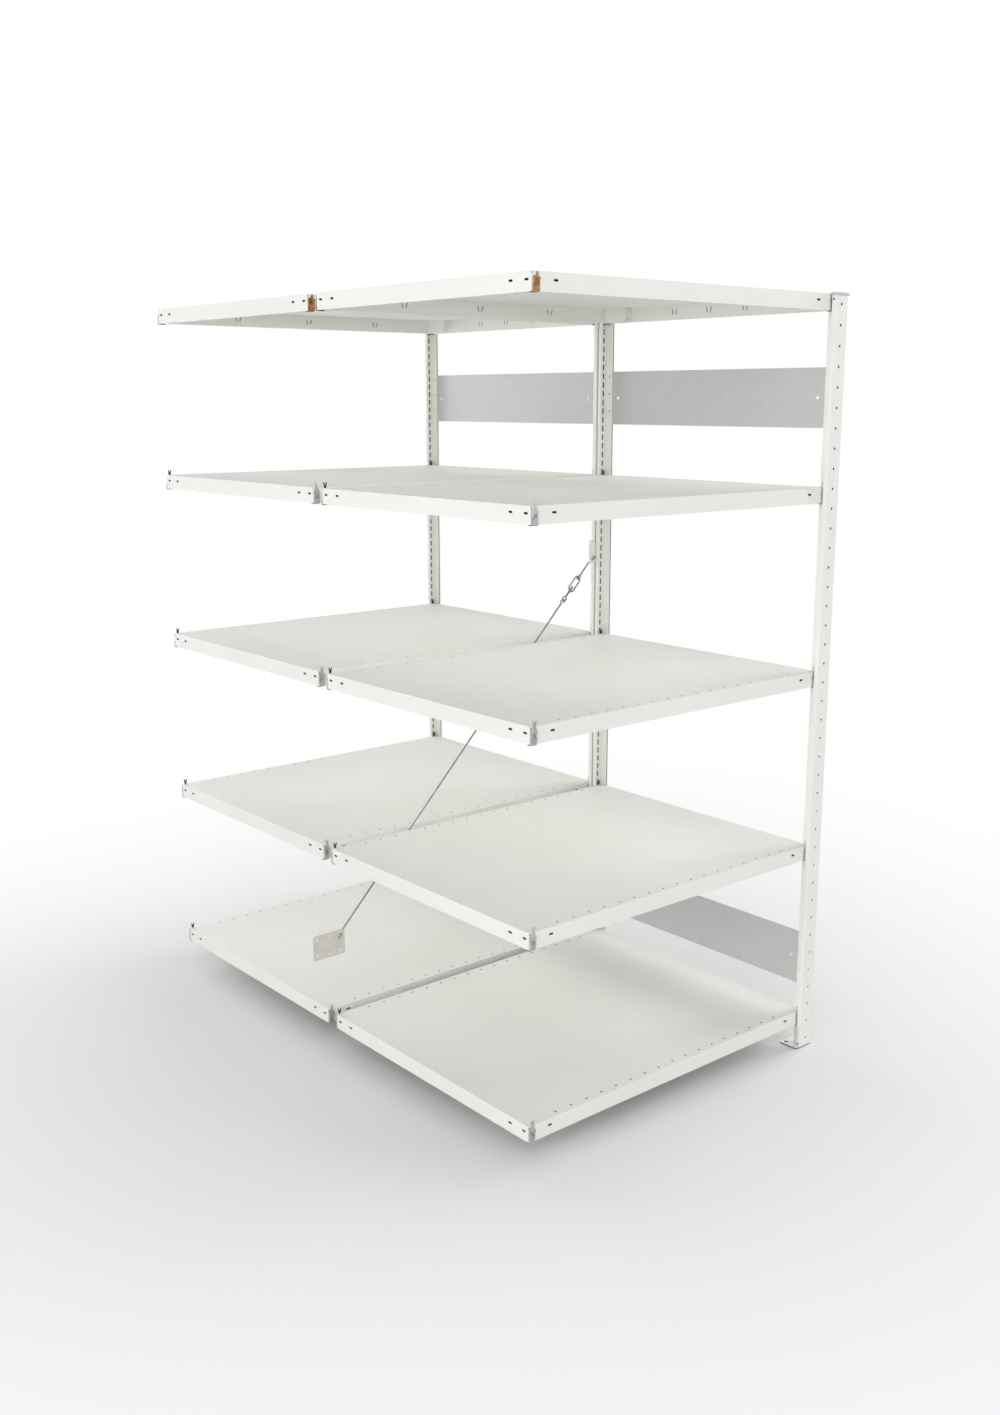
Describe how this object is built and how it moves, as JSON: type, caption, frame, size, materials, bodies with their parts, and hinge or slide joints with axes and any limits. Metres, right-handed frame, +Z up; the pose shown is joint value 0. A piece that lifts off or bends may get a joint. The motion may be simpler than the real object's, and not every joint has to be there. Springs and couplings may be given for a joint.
{
  "type": "double-sided shelving add-on bay",
  "caption": "Double-sided add-on bay of clip-in steel shelving: perforated T posts at one end, folded shelves, corner clips, frame panels and a diagonal tie rod with turnbuckle.",
  "frame": {"origin": "on the floor at the centre of the neighbouring bay's back-to-back posts, which hold the shelves' free ends", "axes": "+X along the shelves towards this bay's own posts, +Y through the depth to the far bay, +Z up"},
  "size_m": [1.082, 1.678, 2.003],
  "materials": {
    "powder_coat": "smooth off-white powder coat, semi-matt",
    "galvanised": "dull galvanised sheet",
    "bright_zinc": "bright zinc plate",
    "chromate": "yellow-orange chromated zinc",
    "warm_coat": "warm light grey coat",
    "brace_steel": "zinc-plated round steel"
  },
  "bodies": {
    "rack": {"post_near_front": "powder_coat", "foot_near_front": "bright_zinc", "cap_near_front": "galvanised", "post_near_rear": "powder_coat", "foot_near_rear": "bright_zinc", "cap_near_rear": "galvanised", "post_far_rear": "powder_coat", "foot_far_rear": "bright_zinc", "cap_far_rear": "galvanised", "post_far_front": "powder_coat", "foot_far_front": "bright_zinc", "cap_far_front": "galvanised", "frame_panel_near_bottom": "galvanised", "frame_panel_near_top": "galvanised", "shelf_near_1": "powder_coat", "clips_near_1": "bright_zinc", "shelf_near_2": "powder_coat", "clips_near_2": "bright_zinc", "shelf_near_3": "powder_coat", "clips_near_3": "bright_zinc", "shelf_near_4": "powder_coat", "clips_near_4": "bright_zinc", "shelf_near_5": "powder_coat", "clips_near_5_free_end": "chromate", "clips_near_5_post_end": "bright_zinc", "frame_panel_far_bottom": "galvanised", "frame_panel_far_top": "galvanised", "shelf_far_1": "powder_coat", "clips_far_1": "bright_zinc", "shelf_far_2": "powder_coat", "clips_far_2": "bright_zinc", "shelf_far_3": "powder_coat", "clips_far_3": "bright_zinc", "shelf_far_4": "powder_coat", "clips_far_4": "bright_zinc", "shelf_far_5": "powder_coat", "clips_far_5_free_end": "chromate", "clips_far_5_post_end": "bright_zinc", "upper_gusset_plate": "powder_coat", "gusset_rivets": "bright_zinc", "gusset_spacers": "bright_zinc", "upper_hook_bolt": "brace_steel"},
    "turnbuckle": {"turnbuckle_frame": "brace_steel"},
    "tie": {"lower_eye_bolt": "brace_steel", "tie_rod": "brace_steel", "lower_gusset_plate": "warm_coat"}
  },
  "joints": [
    {"name": "turnbuckle_spin", "type": "hinge", "parent": "rack", "child": "turnbuckle", "pos_m": [0.967, 0.0043, 1.278], "axis": [0.6969, 0, 0.7172], "range_deg": [-4320.7, 2160.6]},
    {"name": "brace_draw", "type": "slide", "parent": "rack", "child": "tie", "axis": [0.6969, 0, 0.7172], "range_m": [-0.006, 0.012]}
  ],
  "couplings": [
    {"joint": "turnbuckle_spin", "follows": "brace_draw", "rad_per_m": -6283.2}
  ]
}
